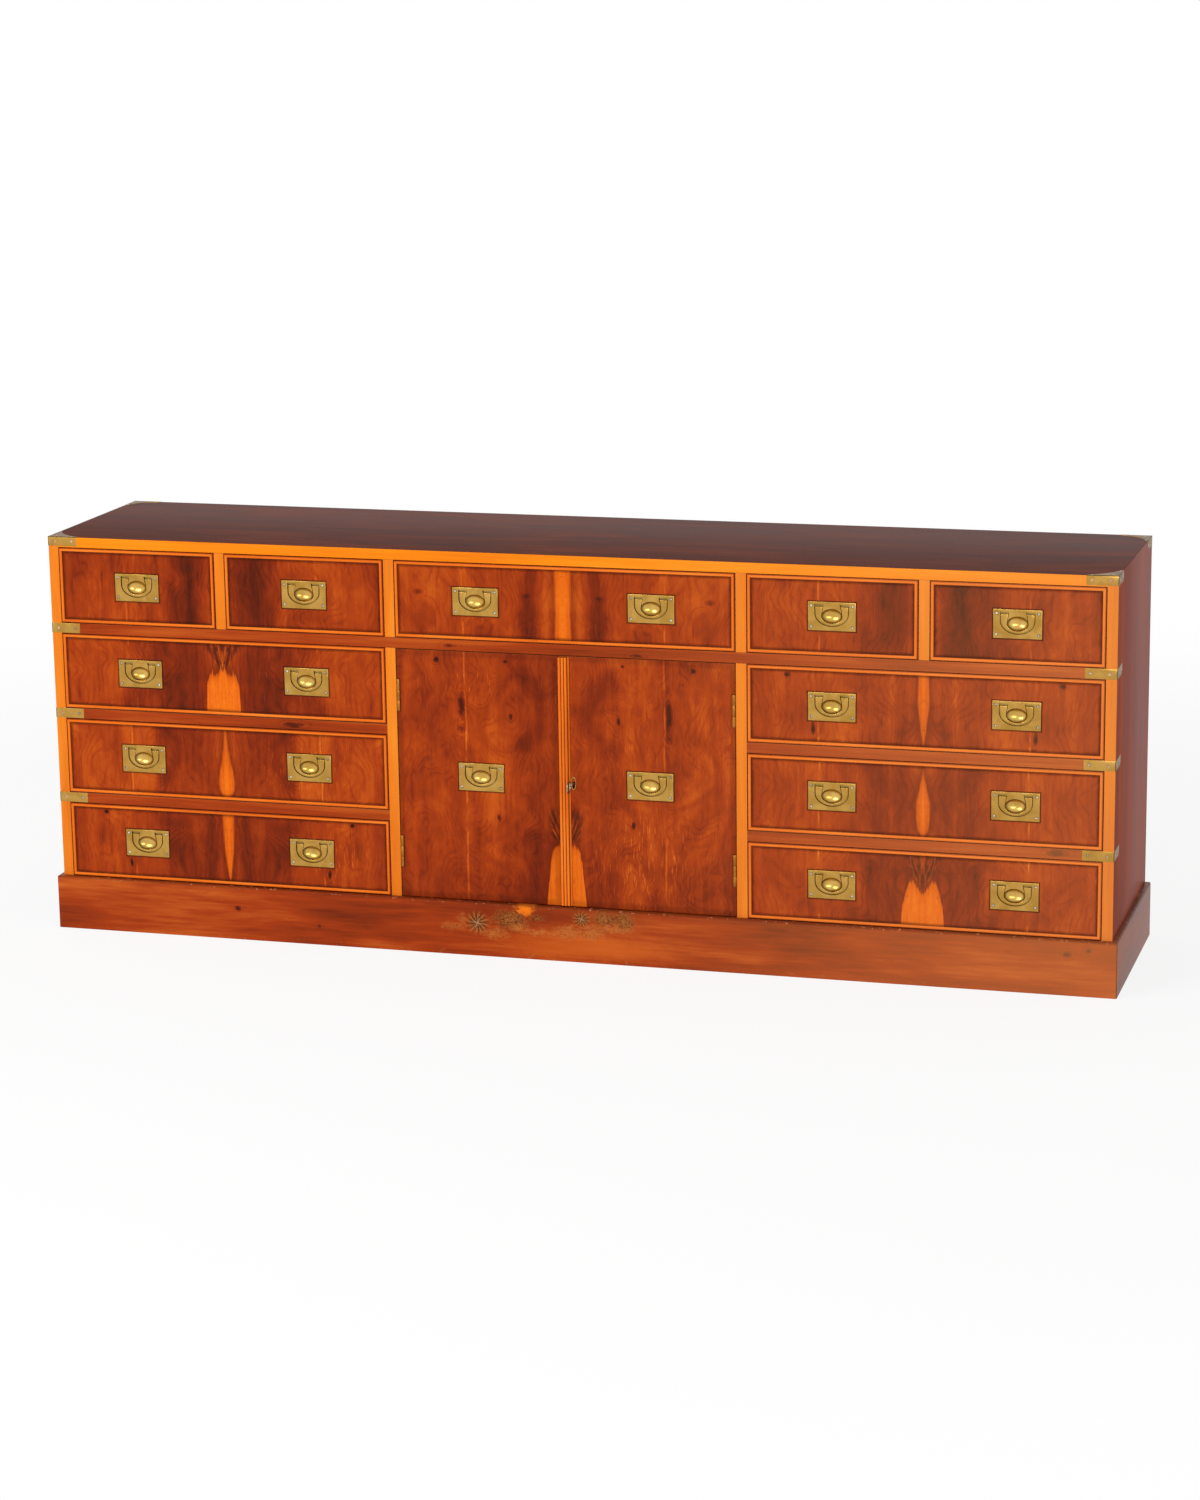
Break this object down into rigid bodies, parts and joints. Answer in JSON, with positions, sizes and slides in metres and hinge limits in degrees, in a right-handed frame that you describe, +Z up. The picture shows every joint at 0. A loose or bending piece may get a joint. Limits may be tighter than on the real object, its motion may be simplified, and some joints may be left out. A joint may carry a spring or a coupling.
{
  "type": "campaign chest",
  "caption": "Long low campaign chest with banks of drawers either side of a central cupboard, sunk brass bail handles, brass corners and straps, on a plinth.",
  "frame": {"origin": "on the floor under the middle of the whole chest, the standing key included", "axes": "+X to the right when facing the front, +Y towards the back, +Z up"},
  "size_m": [1.869, 0.4223, 0.6983],
  "materials": {
    "top_veneer": "dark polished veneer, faded grey-brown",
    "side_veneer": "polished dark red-brown yew veneer with brass straps",
    "sapwood": "polished orange yew sapwood",
    "rail_veneer": "polished red-brown yew veneer",
    "drawer_veneer": "polished figured yew veneer, sapwood cock bead, brass handle plate",
    "door_veneer": "polished figured yew veneer, brass handle plate",
    "plinth_veneer": "polished knotty yew veneer",
    "plain_board": "plain unpolished board",
    "aged_brass": "worn brass",
    "key_steel": "dull steel"
  },
  "bodies": {
    "case": {"top_panel": "top_veneer", "side_left": "side_veneer", "side_right": "side_veneer", "bottom_board": "plain_board", "back_panel": "plain_board", "partition_left": "sapwood", "partition_right": "sapwood", "top_divider_left": "sapwood", "top_divider_right": "sapwood", "upper_rail": "rail_veneer", "left_rail_upper": "rail_veneer", "left_rail_lower": "rail_veneer", "right_rail_upper": "rail_veneer", "right_rail_lower": "rail_veneer", "plinth_front": "plinth_veneer", "plinth_left": "plinth_veneer", "plinth_right": "plinth_veneer", "plinth_back": "plinth_veneer", "corner_front_left": "aged_brass", "corner_front_right": "aged_brass", "corner_back_left": "aged_brass", "corner_back_right": "aged_brass", "hinge_left_lower": "aged_brass", "hinge_left_upper": "aged_brass", "hinge_right_lower": "aged_brass", "hinge_right_upper": "aged_brass"},
    "drawer_top_1": {"drawer_top_1": "drawer_veneer"},
    "drawer_top_2": {"drawer_top_2": "drawer_veneer"},
    "drawer_top_3": {"drawer_top_3": "drawer_veneer"},
    "drawer_top_4": {"drawer_top_4": "drawer_veneer"},
    "drawer_top_5": {"drawer_top_5": "drawer_veneer"},
    "drawer_left_1": {"drawer_left_1": "drawer_veneer"},
    "drawer_left_2": {"drawer_left_2": "drawer_veneer"},
    "drawer_left_3": {"drawer_left_3": "drawer_veneer"},
    "drawer_right_1": {"drawer_right_1": "drawer_veneer"},
    "drawer_right_2": {"drawer_right_2": "drawer_veneer"},
    "drawer_right_3": {"drawer_right_3": "drawer_veneer"},
    "door_left": {"door_left": "door_veneer"},
    "door_right": {"door_right": "door_veneer"},
    "door_key": {"door_key": "key_steel"},
    "bail_top_1": {"bail_top_1": "aged_brass"},
    "bail_top_2": {"bail_top_2": "aged_brass"},
    "bail_top_3_left": {"bail_top_3_left": "aged_brass"},
    "bail_top_3_right": {"bail_top_3_right": "aged_brass"},
    "bail_top_4": {"bail_top_4": "aged_brass"},
    "bail_top_5": {"bail_top_5": "aged_brass"},
    "bail_left_1_left": {"bail_left_1_left": "aged_brass"},
    "bail_left_1_right": {"bail_left_1_right": "aged_brass"},
    "bail_left_2_left": {"bail_left_2_left": "aged_brass"},
    "bail_left_2_right": {"bail_left_2_right": "aged_brass"},
    "bail_left_3_left": {"bail_left_3_left": "aged_brass"},
    "bail_left_3_right": {"bail_left_3_right": "aged_brass"},
    "bail_right_1_left": {"bail_right_1_left": "aged_brass"},
    "bail_right_1_right": {"bail_right_1_right": "aged_brass"},
    "bail_right_2_left": {"bail_right_2_left": "aged_brass"},
    "bail_right_2_right": {"bail_right_2_right": "aged_brass"},
    "bail_right_3_left": {"bail_right_3_left": "aged_brass"},
    "bail_right_3_right": {"bail_right_3_right": "aged_brass"},
    "bail_door_left": {"bail_door_left": "aged_brass"},
    "bail_door_right": {"bail_door_right": "aged_brass"}
  },
  "joints": [
    {"name": "drawer_top_1_slide", "type": "slide", "parent": "case", "child": "drawer_top_1", "axis": [0, -1, 0], "range_m": [0, 0.26]},
    {"name": "drawer_top_2_slide", "type": "slide", "parent": "case", "child": "drawer_top_2", "axis": [0, -1, 0], "range_m": [0, 0.26]},
    {"name": "drawer_top_3_slide", "type": "slide", "parent": "case", "child": "drawer_top_3", "axis": [0, -1, 0], "range_m": [0, 0.26]},
    {"name": "drawer_top_4_slide", "type": "slide", "parent": "case", "child": "drawer_top_4", "axis": [0, -1, 0], "range_m": [0, 0.26]},
    {"name": "drawer_top_5_slide", "type": "slide", "parent": "case", "child": "drawer_top_5", "axis": [0, -1, 0], "range_m": [0, 0.26]},
    {"name": "drawer_left_1_slide", "type": "slide", "parent": "case", "child": "drawer_left_1", "axis": [0, -1, 0], "range_m": [0, 0.26]},
    {"name": "drawer_left_2_slide", "type": "slide", "parent": "case", "child": "drawer_left_2", "axis": [0, -1, 0], "range_m": [0, 0.26]},
    {"name": "drawer_left_3_slide", "type": "slide", "parent": "case", "child": "drawer_left_3", "axis": [0, -1, 0], "range_m": [0, 0.26]},
    {"name": "drawer_right_1_slide", "type": "slide", "parent": "case", "child": "drawer_right_1", "axis": [0, -1, 0], "range_m": [0, 0.26]},
    {"name": "drawer_right_2_slide", "type": "slide", "parent": "case", "child": "drawer_right_2", "axis": [0, -1, 0], "range_m": [0, 0.26]},
    {"name": "drawer_right_3_slide", "type": "slide", "parent": "case", "child": "drawer_right_3", "axis": [0, -1, 0], "range_m": [0, 0.26]},
    {"name": "door_left_hinge", "type": "hinge", "parent": "case", "child": "door_left", "pos_m": [-0.29263, -0.171, 0.0955], "axis": [0, 0, 1], "range_deg": [-165, 0]},
    {"name": "door_right_hinge", "type": "hinge", "parent": "case", "child": "door_right", "pos_m": [0.29263, -0.171, 0.0955], "axis": [0, 0, -1], "range_deg": [-165, 0]},
    {"name": "key_turn", "type": "hinge", "parent": "door_right", "child": "door_key", "pos_m": [0.0146, -0.171, 0.31], "axis": [0, -1, 0], "range_deg": [0, 180]},
    {"name": "bail_top_1_pivot", "type": "hinge", "parent": "drawer_top_1", "child": "bail_top_1", "pos_m": [-0.76333, -0.1705, 0.6282], "axis": [-1, 0, 0], "range_deg": [0, 100]},
    {"name": "bail_top_2_pivot", "type": "hinge", "parent": "drawer_top_2", "child": "bail_top_2", "pos_m": [-0.458, -0.1705, 0.6282], "axis": [-1, 0, 0], "range_deg": [0, 100]},
    {"name": "bail_top_3_left_pivot", "type": "hinge", "parent": "drawer_top_3", "child": "bail_top_3_left", "pos_m": [-0.15267, -0.1705, 0.6282], "axis": [-1, 0, 0], "range_deg": [0, 100]},
    {"name": "bail_top_3_right_pivot", "type": "hinge", "parent": "drawer_top_3", "child": "bail_top_3_right", "pos_m": [0.15267, -0.1705, 0.6282], "axis": [-1, 0, 0], "range_deg": [0, 100]},
    {"name": "bail_top_4_pivot", "type": "hinge", "parent": "drawer_top_4", "child": "bail_top_4", "pos_m": [0.458, -0.1705, 0.6282], "axis": [-1, 0, 0], "range_deg": [0, 100]},
    {"name": "bail_top_5_pivot", "type": "hinge", "parent": "drawer_top_5", "child": "bail_top_5", "pos_m": [0.76333, -0.1705, 0.6282], "axis": [-1, 0, 0], "range_deg": [0, 100]},
    {"name": "bail_left_1_left_pivot", "type": "hinge", "parent": "drawer_left_1", "child": "bail_left_1_left", "pos_m": [-0.76333, -0.1705, 0.4772], "axis": [-1, 0, 0], "range_deg": [0, 100]},
    {"name": "bail_left_1_right_pivot", "type": "hinge", "parent": "drawer_left_1", "child": "bail_left_1_right", "pos_m": [-0.458, -0.1705, 0.4772], "axis": [-1, 0, 0], "range_deg": [0, 100]},
    {"name": "bail_left_2_left_pivot", "type": "hinge", "parent": "drawer_left_2", "child": "bail_left_2_left", "pos_m": [-0.76333, -0.1705, 0.3262], "axis": [-1, 0, 0], "range_deg": [0, 100]},
    {"name": "bail_left_2_right_pivot", "type": "hinge", "parent": "drawer_left_2", "child": "bail_left_2_right", "pos_m": [-0.458, -0.1705, 0.3262], "axis": [-1, 0, 0], "range_deg": [0, 100]},
    {"name": "bail_left_3_left_pivot", "type": "hinge", "parent": "drawer_left_3", "child": "bail_left_3_left", "pos_m": [-0.76333, -0.1705, 0.1752], "axis": [-1, 0, 0], "range_deg": [0, 100]},
    {"name": "bail_left_3_right_pivot", "type": "hinge", "parent": "drawer_left_3", "child": "bail_left_3_right", "pos_m": [-0.458, -0.1705, 0.1752], "axis": [-1, 0, 0], "range_deg": [0, 100]},
    {"name": "bail_right_1_left_pivot", "type": "hinge", "parent": "drawer_right_1", "child": "bail_right_1_left", "pos_m": [0.458, -0.1705, 0.4772], "axis": [-1, 0, 0], "range_deg": [0, 100]},
    {"name": "bail_right_1_right_pivot", "type": "hinge", "parent": "drawer_right_1", "child": "bail_right_1_right", "pos_m": [0.76333, -0.1705, 0.4772], "axis": [-1, 0, 0], "range_deg": [0, 100]},
    {"name": "bail_right_2_left_pivot", "type": "hinge", "parent": "drawer_right_2", "child": "bail_right_2_left", "pos_m": [0.458, -0.1705, 0.3262], "axis": [-1, 0, 0], "range_deg": [0, 100]},
    {"name": "bail_right_2_right_pivot", "type": "hinge", "parent": "drawer_right_2", "child": "bail_right_2_right", "pos_m": [0.76333, -0.1705, 0.3262], "axis": [-1, 0, 0], "range_deg": [0, 100]},
    {"name": "bail_right_3_left_pivot", "type": "hinge", "parent": "drawer_right_3", "child": "bail_right_3_left", "pos_m": [0.458, -0.1705, 0.1752], "axis": [-1, 0, 0], "range_deg": [0, 100]},
    {"name": "bail_right_3_right_pivot", "type": "hinge", "parent": "drawer_right_3", "child": "bail_right_3_right", "pos_m": [0.76333, -0.1705, 0.1752], "axis": [-1, 0, 0], "range_deg": [0, 100]},
    {"name": "bail_door_left_pivot", "type": "hinge", "parent": "door_left", "child": "bail_door_left", "pos_m": [-0.14817, -0.1705, 0.3262], "axis": [-1, 0, 0], "range_deg": [0, 100]},
    {"name": "bail_door_right_pivot", "type": "hinge", "parent": "door_right", "child": "bail_door_right", "pos_m": [0.14817, -0.1705, 0.3262], "axis": [-1, 0, 0], "range_deg": [0, 100]}
  ]
}
